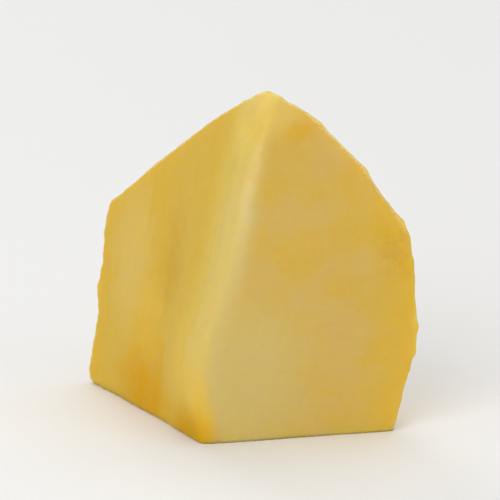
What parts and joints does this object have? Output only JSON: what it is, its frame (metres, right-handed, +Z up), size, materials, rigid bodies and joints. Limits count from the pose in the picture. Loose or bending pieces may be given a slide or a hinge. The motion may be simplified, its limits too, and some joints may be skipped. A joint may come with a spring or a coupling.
{
  "type": "mango slice",
  "caption": "Thick peeled wedge of ripe mango with two flat knife cuts meeting in a soft upright corner, a shallow stone hollow and a curved peeled back.",
  "frame": {"origin": "middle of the wedge's footprint, on the flat base cut that it rests on", "axes": "+Z up to the wedge's point, +X to the right along the front cut, +Y to the back; the broad front cut faces -Y"},
  "size_m": [0.0384, 0.0302, 0.0412],
  "materials": {
    "flesh": "moist ripe mango flesh, golden yellow, soft sheen"
  },
  "bodies": {
    "root": {"mango_slice": "flesh"}
  },
  "joints": []
}
